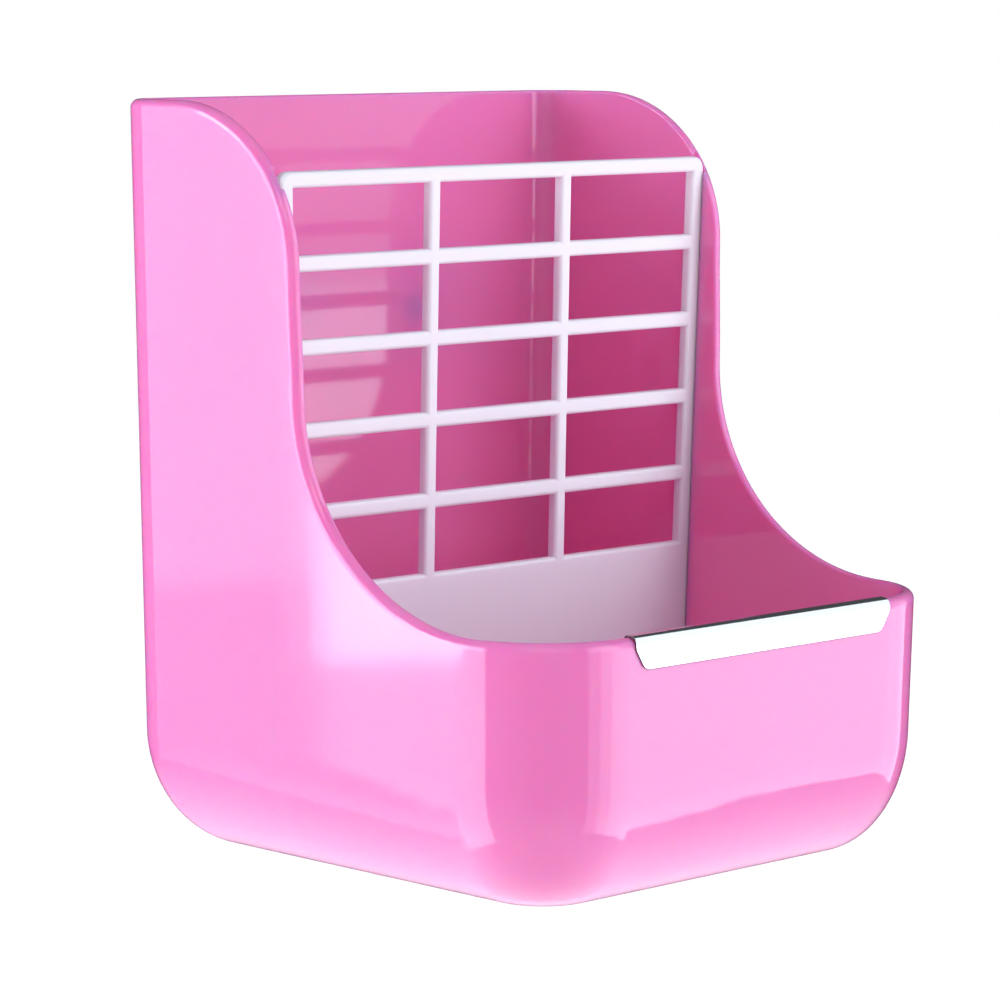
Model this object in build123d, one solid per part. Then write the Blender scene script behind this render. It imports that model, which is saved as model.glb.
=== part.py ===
from build123d import *
import os
from math import cos, pi, radians, sin, sqrt, tan

# Hay feeder box for rabbits and guinea pigs, in millimetres.
# +Z is up, +Y points to the cage wall behind the box, -Y to the animal in front.
# The origin is the middle of the flat underside.

# ---- box ----------------------------------------------------------------
WIDTH = 140.0            # outside width at the top of the walls
DEPTH = 137.5            # outside depth at the height of the front rim
HEIGHT = 172.3           # top of the back wall
WALL = 2.9               # side, front and back walls
FLOOR = 3.0              # floor thickness in the middle
RIM_HEIGHT = 60.2        # top of the front wall
SIDE_DRAFT = 1.16        # degrees that each side wall leans out
FRONT_DRAFT = 1.3        # degrees that the front wall leans out
FRONT_CORNER = 26.3      # upright corners at the front, outside radius
BACK_CORNER = 11.0       # upright corners at the back, outside radius
FRONT_FOOT_CORNER = 9.0  # the same corners where they reach the underside
BACK_FOOT_CORNER = 4.3
FOOT_INSET = 18.3        # how far the rounded bottom edge pulls in under the walls
FOOT_RISE = 27.3         # height over which it does so
FOOT_STEPS = 7           # sections that shape the rounded bottom edge

# ---- side wall's sweep, from the back to the front ----------------------
SHOULDER_START = 22.1    # flat top from the back face to the shoulder
SHOULDER_REACH = 38.9    # shoulder's length towards the front
SHOULDER_DROP = 35.5     # and its drop
NECK_LEAN = 0.7          # how far the steep stretch under the shoulder comes forward
SWEEP_RISE = 47.7        # height of the long hollow sweep above the front rim
RIM_FLAT = 23.0          # level stretch of the rim behind the front face
RIM_OUTER_SHARE = 0.69   # share of the wall's thickness taken by the rim's outer rounding
RIM_INNER_SHARE = 0.24   # and by its inner rounding

# ---- grid ----------------------------------------------------------------
GRID_BELOW_TOP = 15.2    # from the top of the back wall down to the grid's top edge
GRID_FROM_BACK = 56.2    # from the back face to the grid's front face, at its top
GRID_LEAN = 1.46         # degrees; the foot of the grid is further back than its top
GRID_THICK = 3.0
FRAME_BAR = 2.9          # width of the frame's side bars in front of the walls
BAR = 3.3                # width of the upright bars
CROSS_BAR = 3.6          # height of the bars that run across
ROW_PITCH = 18.65        # in height, from one cross bar to the next
COLUMN_PITCH = 42.0
ROWS = 5
GRID_CORNER = 3.0        # rounding of the grid's top corners
BAR_EDGE = 0.9           # rounding along the bars' edges
GROOVE_DEPTH = 1.2       # grooves in the side walls that hold the grid
CLEARANCE = 0.3          # between the grid's edges and the bottoms of its grooves
GROOVE_STEP = 0.1        # the grooves end this far above the floor
GROOVE_SLACK = 0.35      # between the grid's faces and the sides of its grooves

# ---- steel guard on the front rim ---------------------------------------
GUARD_INSET = 2.5        # from each end of the front wall's straight stretch to the end of the guard
GUARD_LENGTH = WIDTH - 2 * (FRONT_CORNER + GUARD_INSET)
GUARD_SHIFT = 1.0        # along the rim, from the middle
GUARD_DROP = 7.0         # front flange, from the top of the rim
GUARD_BACK_DROP = 6.5    # flange inside the box, from the top of the rim
GUARD_UPRIGHT = 2.3      # upright stretch of each end, from the top of the rim
GUARD_SLANT = 3.0        # how much each end slants in below it
GUARD_SHEET = 0.4
GUARD_CORNER = 2.6
GUARD_FRONT_BEND = 1.4   # radius of the front fold, measured at the wall
GUARD_BACK_BEND = 0.7    # and of the back fold
GUARD_EDGE = 0.15        # rounding along the sheet's cut edges
GUARD_GAP = 0.1          # between the sheet and the wall

# ---- cage fixings on the back wall ---------------------------------------
FIXING_SPACING = 44.0
FIXING_BELOW_TOP = 52.3  # from the top of the back wall down to the studs
STUD_RADIUS = 3.0        # M6
STUD_FREE = 28.0         # length standing out of its boss
STUD_SKIN = 1.0          # plastic left between the stud's buried end and the inside of the box
STUD_CHAMFER = 0.6
BOSS_RADIUS = 7.0
BOSS_HEIGHT = 2.5
BOSS_EDGE = 0.8
PLATE_RADIUS = 16.0
PLATE_THICK = 5.0
PLATE_EDGE = 1.2
PLATE_BORE_CLEARANCE = 0.3
WIRE_GROOVE_WIDTH = 3.2
WIRE_GROOVE_DEPTH = 1.2
SEAT_CLEARANCE = 0.3     # between boss, plate and nut
NUT_LENGTH = 12.0
NUT_RADIUS = 7.0
NUT_TAPER = 1.5          # the hub is narrower by this at its outer end
THREAD_CLEARANCE = 0.05
WING_SPAN = 38.0
WING_THICK = 3.4
WING_HEIGHT = 13.0
WING_EDGE = 1.2          # rounding of the blades' edges
WING_FOOT = 1.5          # from the nut's face to the blades
WING_FLARE = 5.0
WING_ROUND = 3.0         # rounding of the blades' outline

# ---- derived ---------------------------------------------------------------
BACK = DEPTH / 2                       # outside of the back wall, which stands plumb
GRID_TOP = HEIGHT - GRID_BELOW_TOP
RIM_OUTER = WALL * RIM_OUTER_SHARE
RIM_INNER = WALL * RIM_INNER_SHARE
FIXING_HEIGHT = HEIGHT - FIXING_BELOW_TOP
STUD_SEAT = BOSS_HEIGHT + WALL - STUD_SKIN   # length moulded into the boss and the wall
EPS = 1.0                              # overrun of cutting tools
TOUCH = 0.01                           # tolerance when edges are picked by their place
FIXINGS = {"left": -FIXING_SPACING / 2, "right": FIXING_SPACING / 2}
FROM_BASE = (Align.CENTER, Align.CENTER, Align.MIN)
FROM_TOP = (Align.CENTER, Align.CENTER, Align.MAX)


def half_width(z):
    """Outside half width of the box at height z, without the bottom rounding."""
    return WIDTH / 2 - (HEIGHT - z) * tan(radians(SIDE_DRAFT))


def front_face(z):
    """Y of the outside of the front wall at height z, without the bottom rounding."""
    return -DEPTH / 2 + (RIM_HEIGHT - z) * tan(radians(FRONT_DRAFT))


def rounded_section(z, side, front, back, front_corner, back_corner):
    """Closed outline at height z: a rectangle with its own corner radius at the front and the back."""
    f, b = front_corner, back_corner
    df, db = f * (1 - sqrt(0.5)), b * (1 - sqrt(0.5))
    with BuildLine(Plane.XY.offset(z)) as outline:
        Line((-side + f, front), (side - f, front))
        ThreePointArc((side - f, front), (side - df, front + df), (side, front + f))
        Line((side, front + f), (side, back - b))
        ThreePointArc((side, back - b), (side - db, back - db), (side - b, back))
        Line((side - b, back), (-side + b, back))
        ThreePointArc((-side + b, back), (-side + db, back - db), (-side, back - b))
        Line((-side, back - b), (-side, front + f))
        ThreePointArc((-side, front + f), (-side + df, front + df), (-side + f, front))
    return make_face(outline.line).face()


def leaning_block(skin, top):
    """Block above the rounded foot: leaning sides and front, plumb back, rounded upright corners."""
    low_side, high_side = half_width(FOOT_RISE) - skin, half_width(top) - skin
    low_front, high_front, back = front_face(FOOT_RISE) + skin, front_face(top) + skin, BACK - skin
    across = Polyline((-low_side, FOOT_RISE), (low_side, FOOT_RISE), (high_side, top), (-high_side, top),
                      close=True)
    along = Polyline((low_front, FOOT_RISE), (back, FOOT_RISE), (back, top), (high_front, top), close=True)
    block = extrude(Plane.XZ * make_face(across), DEPTH, both=True)
    block &= extrude(Plane.YZ * make_face(along), WIDTH, both=True)
    for place, radius in ((slice(-2, None), BACK_CORNER - skin), (slice(0, 2), FRONT_CORNER - skin)):
        corners = block.edges().filter_by(lambda e: abs(e.tangent_at(0).Z) > 0.9).sort_by(Axis.Y)
        block = fillet(corners[place], radius)
    return block


def tub(skin, top):
    """Solid tub with walls `skin` mm inside the outside of the box, up to the height `top`."""
    base = skin * FLOOR / WALL
    inset_full = FOOT_INSET - skin
    sections = []
    for step in range(FOOT_STEPS):
        turn = pi / 2 * step / FOOT_STEPS
        z = base + (FOOT_RISE - base) * (1 - cos(turn))
        pull = 1 - sin(turn)
        inset = skin + inset_full * pull
        front_corner = (FRONT_CORNER - skin) * (1 - pull) + FRONT_FOOT_CORNER * pull
        back_corner = (BACK_CORNER - skin) * (1 - pull) + BACK_FOOT_CORNER * pull
        sections.append(rounded_section(z, half_width(z) - inset, front_face(z) + inset,
                                        BACK - inset, front_corner, back_corner))
    walls = leaning_block(skin, top)
    return loft([*sections, walls.faces().sort_by(Axis.Z)[0]]) + walls


def under_the_sweep():
    """Everything below the walls' top edge, seen from the side: back, shoulder, neck, sweep and front rim."""
    shoulder = BACK - SHOULDER_START
    neck = shoulder - SHOULDER_REACH
    neck_top = HEIGHT - SHOULDER_DROP
    sweep = neck - NECK_LEAN
    sweep_top = RIM_HEIGHT + SWEEP_RISE
    toe = -DEPTH / 2 + RIM_FLAT
    behind, ahead = BACK + EPS, -DEPTH / 2 - EPS
    with BuildLine(Plane.YZ) as crest:
        Polyline((ahead, RIM_HEIGHT), (ahead, -EPS), (behind, -EPS), (behind, HEIGHT), (shoulder, HEIGHT))
        EllipticalCenterArc((shoulder, neck_top), SHOULDER_REACH, SHOULDER_DROP, 90, arc_size=90)
        Spline((neck, neck_top), (sweep, sweep_top), tangents=((0, -1), (0, -1)))
        EllipticalCenterArc((toe, sweep_top), sweep - toe, SWEEP_RISE, 0, arc_size=-90)
        Line((toe, RIM_HEIGHT), (ahead, RIM_HEIGHT))
    return extrude(make_face(crest.line), WIDTH / 2 + EPS, both=True)


# ---- grid's own frame: X across, Y up along the grid from its top edge, Z out of its front face
GRID_TOP_Y = BACK - GRID_FROM_BACK
GRID_PLANE = Plane(origin=(0, GRID_TOP_Y, GRID_TOP), x_dir=(1, 0, 0),
                   z_dir=(0, -cos(radians(GRID_LEAN)), -sin(radians(GRID_LEAN))))


def grid_slab(foot, above, margin):
    """Slab in the plane of the grid, from the height `foot` to `above` mm past the grid's top.

    It is `margin` mm thicker than the grid on each face.
    """
    drop = (GRID_TOP - foot) / cos(radians(GRID_LEAN))
    slab = Box(WIDTH + 2 * EPS, drop + above, GRID_THICK + 2 * margin)
    return GRID_PLANE * Pos(0, (above - drop) / 2, -GRID_THICK / 2) * slab


def back_frame(x, out):
    """Frame on the axis of the cage fixing at x, `out` mm behind the back wall; Z points away from it."""
    return Plane(origin=(x, BACK + out, FIXING_HEIGHT), x_dir=(-1, 0, 0), z_dir=(0, 1, 0))


def is_outer_edge(edge):
    """True for the edges of a wing's outline that lie clear of the hub."""
    return edge.center().X > NUT_RADIUS


def feeder_box():
    """The moulded box: walls, floor, rounded rim, grooves for the grid and two bosses on the back."""
    blank, sweep = tub(0, HEIGHT + EPS), under_the_sweep()
    body = blank & sweep
    body = fillet(new_edges(blank, sweep, combined=body), RIM_OUTER)
    hollow = tub(WALL, HEIGHT + EPS)
    shell = body - hollow
    shell = fillet(new_edges(body, hollow, combined=shell), RIM_INNER)
    shell -= grid_slab(FLOOR + GROOVE_STEP, HEIGHT, GROOVE_SLACK) & tub(WALL - GROOVE_DEPTH, HEIGHT + EPS)
    for x in FIXINGS.values():
        root = BOSS_HEIGHT + WALL / 2
        boss = Cylinder(BOSS_RADIUS, root, align=FROM_TOP)
        edge = boss.edges().sort_by(Axis.Z)[-1]
        shell += back_frame(x, BOSS_HEIGHT) * fillet(edge, BOSS_EDGE)
        shell -= back_frame(x, BOSS_HEIGHT) * Cylinder(STUD_RADIUS, STUD_SEAT, align=FROM_TOP)
    return shell


def window_tool(row, column):
    """Cutter for one window of the grid; those of the outer columns run past the frame on one side."""
    high = ROW_PITCH / cos(radians(GRID_LEAN)) - CROSS_BAR
    middle = -(row + 0.5) * (high + CROSS_BAR) - CROSS_BAR / 2
    inner = COLUMN_PITCH - BAR
    wide = inner if column == 0 else WIDTH / 2
    x = column * (inner / 2 + BAR + wide / 2)
    return GRID_PLANE * Pos(x, middle, -GRID_THICK / 2) * Box(wide, high, GRID_THICK + 2 * EPS)


def hay_grid():
    """Bars over a solid lower panel, shaped to the grooves with clearance all round."""
    grid = grid_slab(FLOOR + CLEARANCE, 0, 0) & tub(WALL - GROOVE_DEPTH + CLEARANCE, HEIGHT + EPS)
    windows = Part() + [window_tool(row, column) for row in range(ROWS) for column in (-1, 0, 1)]
    grid -= windows & tub(WALL + FRAME_BAR, HEIGHT + EPS)
    through = grid.edges().filter_by(lambda e: abs(e.length - GRID_THICK) < TOUCH
                                     and abs(e.tangent_at(0).dot(GRID_PLANE.z_dir)) > 0.99)
    top = through.filter_by(lambda e: abs(GRID_PLANE.to_local_coords(e.center()).Y) < TOUCH)
    grid = fillet(top, GRID_CORNER)
    faces = grid.faces().filter_by(lambda f: abs(f.normal_at().dot(GRID_PLANE.z_dir)) > 0.999)
    return fillet(faces.edges(), BAR_EDGE)


def front_wall_channel(margin):
    """Section over the top of the front wall, `margin` mm outside it; its origin is the middle of the top."""
    section = Rectangle(WALL + 2 * margin, HEIGHT, align=(Align.CENTER, Align.MAX))
    for side, bend in ((Axis.X, GUARD_BACK_BEND), (-Axis.X, GUARD_FRONT_BEND)):
        top_corner = section.vertices().sort_by(Axis.Y)[-2:].sort_by(side)[-1]
        section = fillet(top_corner, bend + margin)
    return Pos(0, margin) * section


def rim_guard():
    """Steel sheet folded over the front rim, with slanted ends and rounded corners."""
    channel = front_wall_channel(GUARD_GAP + GUARD_SHEET) - front_wall_channel(GUARD_GAP)
    sheet = extrude(Plane.YZ * channel, GUARD_LENGTH, both=True)
    behind = Pos(0, WALL / 2, -GUARD_BACK_DROP)
    sheet -= behind * Box(DEPTH * 2, WALL, 2 * HEIGHT, align=(Align.CENTER, Align.CENTER, Align.MAX))
    sheet = Pos(0, front_face(RIM_HEIGHT) + WALL / 2, RIM_HEIGHT) * Rot(X=FRONT_DRAFT) * sheet
    half, top, low = GUARD_LENGTH / 2, RIM_HEIGHT + WALL, RIM_HEIGHT - GUARD_DROP
    tip, upright = half - GUARD_SLANT, RIM_HEIGHT - GUARD_UPRIGHT
    blank = make_face(Polyline((-half, top), (-half, upright), (-tip, low), (tip, low), (half, upright),
                               (half, top), close=True))
    blank = fillet(blank.vertices().sort_by(Axis.Y)[:4], GUARD_CORNER)
    guard = sheet & extrude(Plane.XZ * blank, DEPTH, both=True)
    cut_edges = guard.edges().filter_by(lambda e: e.length < GUARD_LENGTH - TOUCH
                                        and abs(e.length - GUARD_SHEET) > TOUCH)
    return Pos(GUARD_SHIFT, 0, 0) * fillet(cut_edges, GUARD_EDGE)


def stud(x):
    """Threaded stud, seated in its boss."""
    rod = Cylinder(STUD_RADIUS, STUD_SEAT + STUD_FREE, align=FROM_BASE)
    rod = chamfer(rod.edges().sort_by(Axis.Z)[-1], STUD_CHAMFER)
    return back_frame(x, BOSS_HEIGHT - STUD_SEAT) * rod


def clamp_plate(x):
    """Round plate that presses the cage wires to the box, with crossed grooves for them."""
    plate = Cylinder(PLATE_RADIUS, PLATE_THICK, align=FROM_BASE)
    plate = fillet(plate.edges().sort_by(Axis.Z)[-1], PLATE_EDGE)
    for turn in (0, 90):
        plate -= Rot(Z=turn) * Box(2 * PLATE_RADIUS + EPS, WIRE_GROOVE_WIDTH, 2 * WIRE_GROOVE_DEPTH)
    plate -= Cylinder(STUD_RADIUS + PLATE_BORE_CLEARANCE, 3 * PLATE_THICK)
    return back_frame(x, BOSS_HEIGHT + SEAT_CLEARANCE) * plate


def wing_nut(x):
    """Nut with a tapered hub and two wings, its wings up and down."""
    hub = Cone(NUT_RADIUS, NUT_RADIUS - NUT_TAPER, NUT_LENGTH, align=FROM_BASE)
    hub = fillet(hub.edges().sort_by(Axis.Z)[-1], WING_EDGE)
    reach = WING_SPAN / 2
    outline = make_face(Polyline((0, WING_FOOT), (reach - WING_FLARE, WING_FOOT), (reach, WING_HEIGHT / 2),
                                 (reach, WING_HEIGHT), (reach - WING_FLARE, WING_HEIGHT), (0, NUT_LENGTH / 2),
                                 close=True))
    outer = outline.vertices().sort_by(Axis.X)[2:]
    blade = extrude(Plane.XZ * fillet(outer, WING_ROUND), WING_THICK / 2, both=True)
    blade = fillet(blade.faces().filter_by(Axis.Y).edges().filter_by(is_outer_edge), WING_EDGE)
    nut = hub + Rot(Z=90) * blade + Rot(Z=-90) * blade
    nut -= Cylinder(STUD_RADIUS + THREAD_CLEARANCE, 3 * NUT_LENGTH)
    return back_frame(x, BOSS_HEIGHT + 2 * SEAT_CLEARANCE + PLATE_THICK) * nut


def save(node, solid):
    export_step(solid, f"parts/{node}.step")


os.makedirs("parts", exist_ok=True)
save("feeder_box", feeder_box())
save("hay_grid", hay_grid())
save("rim_guard", rim_guard())
for side, x in FIXINGS.items():
    save(f"{side}_stud", stud(x))
    save(f"{side}_clamp_plate", clamp_plate(x))
    save(f"{side}_wing_nut", wing_nut(x))
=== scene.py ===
"""Looks of the hay feeder box: gloss pink box, white grid, polished steel guard and white cage clamps."""

from math import cos, pi, radians, sin, tan

import bpy
from mathutils import Matrix, Vector


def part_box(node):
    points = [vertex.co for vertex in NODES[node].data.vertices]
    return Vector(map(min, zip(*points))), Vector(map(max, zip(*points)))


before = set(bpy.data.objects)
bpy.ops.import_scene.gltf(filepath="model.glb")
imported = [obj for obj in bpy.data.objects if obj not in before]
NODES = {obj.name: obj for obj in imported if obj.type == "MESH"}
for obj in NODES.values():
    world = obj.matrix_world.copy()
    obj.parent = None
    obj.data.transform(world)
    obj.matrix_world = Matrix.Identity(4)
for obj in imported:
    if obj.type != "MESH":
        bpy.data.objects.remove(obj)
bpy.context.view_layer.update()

# ---- pieces by their finish; sizes in metres --------------------------------------
WHITE_PIECES = ("hay_grid", "left_clamp_plate", "right_clamp_plate", "left_wing_nut", "right_wing_nut")
STUDS = ("left_stud", "right_stud")
THREAD_PITCH = 0.001
THREAD_DEPTH = 0.0005

# ---- camera -----------------------------------------------------------------------
CAMERA_PLACE = Vector((-0.65995, -0.66688, 0.19389))
CAMERA_RIGHT = Vector((0.71792, -0.69613, 0.0))
CAMERA_AHEAD = Vector((0.69109, 0.71273, -0.12006))
CLIP_START = 0.01
LENS_MM = 148.03
SENSOR_MM = 36.0

# ---- light, white being 1; azimuths in degrees from +X, counter-clockwise ---------
WHITE = (1.0, 1.0, 1.0, 1.0)
COOL_WHITE = (0.83, 0.92, 1.0)
RING = 1.05                 # distance of the light panels from the middle of the box
# first and last azimuth; bottom; glow; height where it changes; glow above; top
PANELS = {
    "left_edge": (126, 134, -0.9, 1.2, -0.10, 2.5, 0.7),
    "left_back": (134, 148, -0.9, 3.1, -0.14, 8.6, 0.65),
    "left_front": (148, 172, -0.9, 3.6, -0.12, 5.6, 0.65),
    "front_edge": (-94, -82, -0.7, 1.2, 0.05, 2.4, 0.85),
    "front_left": (-82, -70, -0.7, 2.4, 0.05, 3.3, 1.2),
    "front_middle": (-70, -58, -0.7, 3.6, 0.05, 3.8, 1.2),
    "front_right": (-58, -40, -0.7, 3.7, 0.05, 1.2, 1.15),
    "right_edge": (-40, -26, -0.42, 3.5, 0.05, 1.2, 1.15),
    "right_fade": (-26, -6, -0.42, 2.6, 0.05, 1.2, 1.15),
    "camera_side": (205, 250, 0.0, 0.3, 0.6, 2.1, 1.2),
}
CEILING_SIZE = 1.3
CEILING_HEIGHT = 1.2
CEILING_GLOW = 0.5

# ---- table of lit acrylic, and the room; spans are parts of a view's whole length --
TABLE_HALF = 0.9
TABLE_LIT = 0.97            # as the camera sees it
SHALLOW_GLOW = 0.10         # as the box mirrors it just below the horizon, on the camera's side
SHALLOW_SPAN = (-0.2, 0.6)  # from the camera's side to the far side
DEEP_GLOW = 1.0, 2.4        # as the box mirrors it steeply below, on the camera's side and the far side
DEEP_SPAN = (-0.4, 0.3)
STEEP_SPAN = (-0.7, -0.3)   # rise of the view, from steep to shallow
ROOM_GLOW = 0.07            # above the horizon
HORIZON_SPAN = (-0.03, 0.03)


# ---- shader tools -----------------------------------------------------------------
class Signal:
    """The output of one shader node. A sum or product of signals and numbers adds Math nodes."""

    def __init__(self, tree, socket):
        self.tree = tree
        self.socket = socket

    def __add__(self, other):
        return self.tree.maths("ADD", self, other)

    def __sub__(self, other):
        return self.tree.maths("SUBTRACT", self, other)

    def __rsub__(self, other):
        return self.tree.maths("SUBTRACT", other, self)

    def __mul__(self, other):
        return self.tree.maths("MULTIPLY", self, other)

    def __abs__(self):
        return self.tree.maths("ABSOLUTE", self)

    __radd__ = __add__
    __rmul__ = __mul__


class Tree:
    """The shader nodes of a material or of the world, added one by one."""

    def __init__(self, tree):
        self.tree = tree
        self.tree.nodes.clear()

    def node(self, kind, settings=None, sockets=None, output=0):
        """Adds a node: first its settings, then the values or links of its sockets."""
        made = self.tree.nodes.new(kind)
        for name, value in (settings or {}).items():
            if name == "stops":
                self.set_stops(made.color_ramp, value)
            else:
                setattr(made, name, value)
        for name, value in (sockets or {}).items():
            if isinstance(value, Signal):
                self.tree.links.new(value.socket, made.inputs[name])
            else:
                made.inputs[name].default_value = value
        return Signal(self, made.outputs[output]) if len(made.outputs) else None

    def set_stops(self, ramp, stops):
        """Gives a colour ramp its (place, grey level) stops."""
        while len(ramp.elements) < len(stops):
            ramp.elements.new(0.5)
        for element, (place, level) in zip(ramp.elements, stops):
            element.position = place
            element.color = (level, level, level, 1.0)

    def maths(self, operation, *values):
        return self.node("ShaderNodeMath", {"operation": operation}, dict(enumerate(values)))

    def parts(self, vector):
        """The X, Y and Z of a vector."""
        split = self.node("ShaderNodeSeparateXYZ", None, {0: vector}).socket.node
        return [Signal(self, socket) for socket in split.outputs]


class Finish(Tree):
    """One material, built node by node."""

    def __init__(self, name):
        self.material = bpy.data.materials.new(name)
        self.material.use_nodes = True
        super().__init__(self.material.node_tree)

    def place(self):
        """Position on the piece, in metres; it stays with the piece when that moves."""
        return self.node("ShaderNodeTexCoord", output="Object")

    def stretched(self, x=1.0, y=1.0, z=1.0):
        """Position on the piece with each axis scaled."""
        scale = (x, y, z)
        return self.node("ShaderNodeVectorMath", {"operation": "MULTIPLY"}, {0: self.place(), 1: scale})

    def noise(self, scale, detail=2.0, vector=None):
        """Soft noise between 0 and 1, `scale` blotches to the metre."""
        sockets = {"Vector": vector or self.place(), "Scale": scale, "Detail": detail}
        return self.node("ShaderNodeTexNoise", None, sockets, output="Fac")

    def ramp(self, signal, *stops):
        return self.node("ShaderNodeValToRGB", {"stops": stops}, {"Fac": signal})

    def blend(self, mask, first, second):
        """Colour that goes from `first` to `second` with the mask."""
        settings = {"data_type": "RGBA", "blend_type": "MIX"}
        return self.node("ShaderNodeMix", settings, {"Factor": mask, 6: first, 7: second}, output=2)

    def bump(self, height, depth, normal=None):
        """Normal of a surface whose height goes from 0 to `depth` metres with the signal."""
        sockets = {"Height": height, "Distance": depth, "Strength": 1.0}
        if normal:
            sockets["Normal"] = normal
        return self.node("ShaderNodeBump", None, sockets)

    def turned_away(self):
        """How far the surface turns sideways or down, 0 to 1, on the piece at rest."""
        x, _, z = self.parts(self.node("ShaderNodeTexCoord", output="Normal"))
        return self.maths("MAXIMUM", abs(x), 0.0 - z)

    def surface(self, **sockets):
        """Finishes the material with one Principled shader; an underscore stands for a space."""
        named = {name.replace("_", " "): value for name, value in sockets.items()}
        shader = self.node("ShaderNodeBsdfPrincipled", None, named)
        self.node("ShaderNodeOutputMaterial", None, {"Surface": shader})
        return self.material


# ---- finishes ---------------------------------------------------------------------
def pink_plastic():
    """Gloss moulded ABS: faint flow marks in the colour, orange peel and hairline marks in the gloss."""
    skin = Finish("pink_abs")
    flow = skin.noise(14.0, 3.0, skin.stretched(z=0.45))
    colour = skin.blend(flow, (0.86, 0.23, 0.53, 1.0), (0.885, 0.25, 0.56, 1.0))
    peel = skin.noise(420.0, 1.0)
    grain = skin.noise(2600.0)
    hairs = skin.ramp(skin.noise(900.0, 2.0, skin.stretched(z=0.06)), (0.62, 0.0), (0.75, 1.0))
    rough = 0.05 + 0.02 * flow + 0.05 * hairs + 0.01 * grain
    normal = skin.bump(grain, 0.0000012, skin.bump(peel, 0.000006))
    return skin.surface(
        Base_Color=colour, Roughness=rough, Normal=normal, IOR=1.55, Subsurface_Weight=1.0,
        Subsurface_Radius=(1.0, 0.20, 0.40), Subsurface_Scale=0.004)


def white_plastic():
    """White moulded polypropylene: slightly waxy, with faint clouding and a fine grain."""
    skin = Finish("white_pp")
    cloud = skin.noise(22.0, 3.0)
    colour = skin.blend(cloud, (0.87, 0.785, 0.85, 1.0), (0.93, 0.845, 0.90, 1.0))
    grain = skin.noise(1800.0)
    wave = skin.noise(160.0, 1.0)
    rough = 0.24 + 0.06 * cloud + 0.05 * grain
    normal = skin.bump(grain, 0.0000015, skin.bump(wave, 0.000012))
    return skin.surface(
        Base_Color=colour, Roughness=rough, Normal=normal, IOR=1.49, Subsurface_Weight=1.0,
        Subsurface_Radius=(1.0, 0.85, 0.9), Subsurface_Scale=0.002)


def guard_steel():
    """Polished stainless sheet with rolling lines along its length; its sheared edges are rough, and every
    face turned sideways or down is darkened with painted shade.
    """
    skin = Finish("polished_steel")
    lines = skin.noise(700.0, 3.0, skin.stretched(x=0.02))
    smears = skin.noise(60.0)
    # Mask of faces turned sideways or down: it makes them rough, and it darkens their colour as painted
    # shade along the sheet's edges and under its fold.
    rough_edge_and_painted_shade = skin.ramp(skin.turned_away(), (0.25, 0.0), (0.6, 1.0))
    polish = skin.blend(smears, (0.86, 0.86, 0.87, 1.0), (0.93, 0.93, 0.93, 1.0))
    colour = skin.blend(rough_edge_and_painted_shade, polish, (0.12, 0.09, 0.11, 1.0))
    rough = 0.06 + 0.06 * lines + 0.04 * smears + 0.35 * rough_edge_and_painted_shade
    return skin.surface(Base_Color=colour, Metallic=1.0, Roughness=rough, Normal=skin.bump(lines, 0.000002))


def stud_steel(node):
    """Zinc-plated steel with a rolled thread that winds round the stud's own axis."""
    skin = Finish("zinc_" + node)
    low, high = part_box(node)
    axis = (low + high) / 2
    x, y, z = skin.parts(skin.place())
    angle = skin.maths("ARCTAN2", z - axis.z, x - axis.x)
    turns = y * (1 / THREAD_PITCH) + angle * (1 / (2 * pi))
    ridge = skin.maths("PINGPONG", turns, 0.5) * 2
    tarnish = skin.noise(260.0, 3.0)
    # The colour is darker in the thread's grooves, which is painted shade, and it also varies at random with
    # the tarnish.
    colour = skin.blend(ridge * tarnish, (0.50, 0.50, 0.53, 1.0), (0.80, 0.80, 0.83, 1.0))
    rough = 0.24 + 0.18 * tarnish
    thread = skin.bump(ridge, THREAD_DEPTH)
    return skin.surface(Base_Color=colour, Metallic=1.0, Roughness=rough, Normal=thread)


# ---- dressing ---------------------------------------------------------------------
def dress(node, material):
    """Gives a CAD piece its finish."""
    slots = NODES[node].data.materials
    slots.clear()
    slots.append(material)


def dress_all():
    dress("feeder_box", pink_plastic())
    dress("rim_guard", guard_steel())
    white = white_plastic()
    for node in WHITE_PIECES:
        dress(node, white)
    for node in STUDS:
        dress(node, stud_steel(node))


# ---- studio -----------------------------------------------------------------------
def add(name, data):
    """Puts a light, a mesh or a camera into the scene as an object."""
    made = bpy.data.objects.new(name, data)
    bpy.context.scene.collection.objects.link(made)
    return made


def lamp(name, place, width, height, glow):
    """Oblong studio light of an even glow, facing down until it is turned."""
    light = bpy.data.lights.new(name, "AREA")
    light.shape = "RECTANGLE"
    light.size = width
    light.size_y = height
    light.energy = pi * width * height * glow
    light.color = COOL_WHITE
    made = add(name, light)
    made.location = place
    made.visible_camera = False
    return made


def panel(name, first, last, low, high, glow):
    """Upright light on the ring round the box, between two azimuths and two heights."""
    turn = radians((first + last) / 2)
    half = radians((last - first) / 2)
    place = RING * cos(turn), RING * sin(turn), (low + high) / 2
    made = lamp(name, place, 2 * RING * tan(half), high - low, glow)
    made.rotation_euler = Vector((-cos(turn), -sin(turn), 0.0)).to_track_quat("-Z", "Y").to_euler()


def lights():
    """Two tall softboxes beside the camera's line, made of panels that fade towards their edges."""
    for name, (first, last, bottom, low_glow, middle, high_glow, top) in PANELS.items():
        panel(name + "_low", first, last, bottom, middle, low_glow)
        panel(name + "_high", first, last, middle, top, high_glow)
    lamp("ceiling", (0.0, 0.0, CEILING_HEIGHT), CEILING_SIZE, CEILING_SIZE, CEILING_GLOW)


def lit_acrylic():
    """Dull white sheet that glows evenly, with faint clouding."""
    sheet = Finish("lit_acrylic")
    colour = sheet.blend(sheet.noise(3.0), (0.14, 0.14, 0.14, 1.0), (0.16, 0.16, 0.16, 1.0))
    return sheet.surface(
        Base_Color=colour, Roughness=0.9, Specular_IOR_Level=0.0, Emission_Color=WHITE,
        Emission_Strength=TABLE_LIT)


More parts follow.
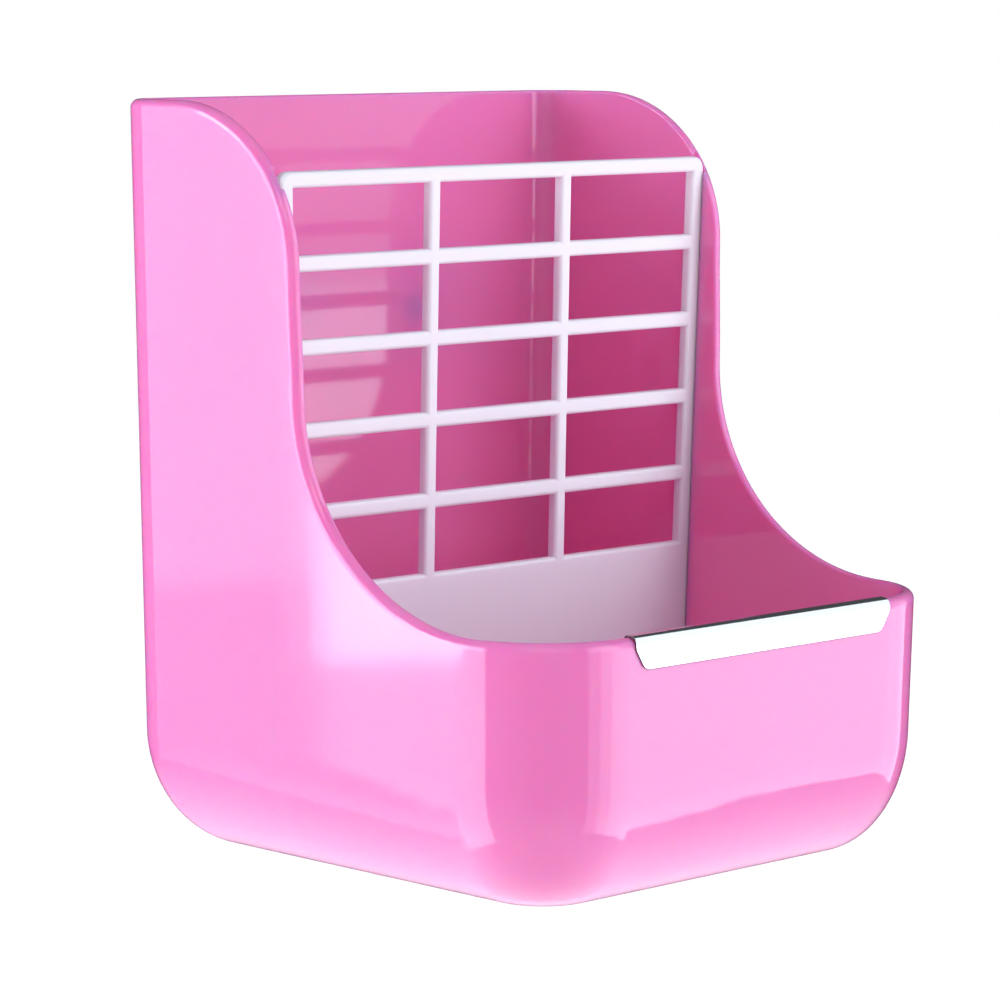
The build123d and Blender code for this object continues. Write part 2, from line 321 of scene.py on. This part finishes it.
def floor():
    """Large sheet of white acrylic under the box, lit from below as on a photographer's table."""
    corners = [(x * TABLE_HALF, y * TABLE_HALF, 0) for x, y in ((-1, -1), (1, -1), (1, 1), (-1, 1))]
    mesh = bpy.data.meshes.new("studio_floor")
    mesh.from_pydata(corners, [], [(0, 1, 2, 3)])
    mesh.materials.append(lit_acrylic())
    sheet = add("studio_floor", mesh)
    sheet.visible_glossy = False


def surroundings():
    """White behind the box; where it only lights or is mirrored, a dim room over a glowing table."""
    world = bpy.data.worlds.new("studio")
    world.use_nodes = True
    bpy.context.scene.world = world
    sky = Tree(world.node_tree)

    def fade(value, span, at_low, at_high):
        """Number that goes from one level to the other as the value goes along the span."""
        low, high = span
        sockets = {"Value": value, "From Min": low, "From Max": high, "To Min": at_low, "To Max": at_high}
        return sky.node("ShaderNodeMapRange", None, sockets)

    def between(mask, first, second):
        """Number that goes from `first` to `second` with the mask."""
        return sky.node("ShaderNodeMix", None, {"Factor": mask, "A": first, "B": second})

    way = sky.node("ShaderNodeTexCoord", output="Generated")
    rise = sky.parts(way)[2]
    far_side = (CAMERA_AHEAD.x, CAMERA_AHEAD.y, 0.0)
    away = sky.node("ShaderNodeVectorMath", {"operation": "DOT_PRODUCT"}, {0: way, 1: far_side}, "Value")
    shallow = fade(away, SHALLOW_SPAN, SHALLOW_GLOW, 0.0)
    deep = fade(away, DEEP_SPAN, *DEEP_GLOW)
    table = between(fade(rise, STEEP_SPAN, 1.0, 0.0), shallow, deep)
    glow = between(fade(rise, HORIZON_SPAN, 1.0, 0.0), ROOM_GLOW, table)

    seen = sky.node("ShaderNodeBackground", None, {"Color": WHITE})
    around = sky.node("ShaderNodeBackground", None, {"Color": (*COOL_WHITE, 1.0), "Strength": glow})
    camera_ray = sky.node("ShaderNodeLightPath", output="Is Camera Ray")
    mixed = sky.node("ShaderNodeMixShader", None, {0: camera_ray, 1: around, 2: seen})
    sky.node("ShaderNodeOutputWorld", None, {"Surface": mixed})


def camera():
    """Long lens, turned about a quarter to the left of the box and a little above it."""
    data = bpy.data.cameras.new("camera")
    data.sensor_width = SENSOR_MM
    data.lens = LENS_MM
    data.clip_start = CLIP_START
    eye = add("camera", data)
    back = -CAMERA_AHEAD.normalized()
    right = CAMERA_RIGHT.normalized()
    turn = Matrix((right, back.cross(right), back)).transposed()
    eye.matrix_world = Matrix.Translation(CAMERA_PLACE) @ turn.to_4x4()
    bpy.context.scene.camera = eye


def studio():
    bpy.context.scene.view_settings.view_transform = "Standard"
    camera()
    lights()
    floor()
    surroundings()


dress_all()
studio()
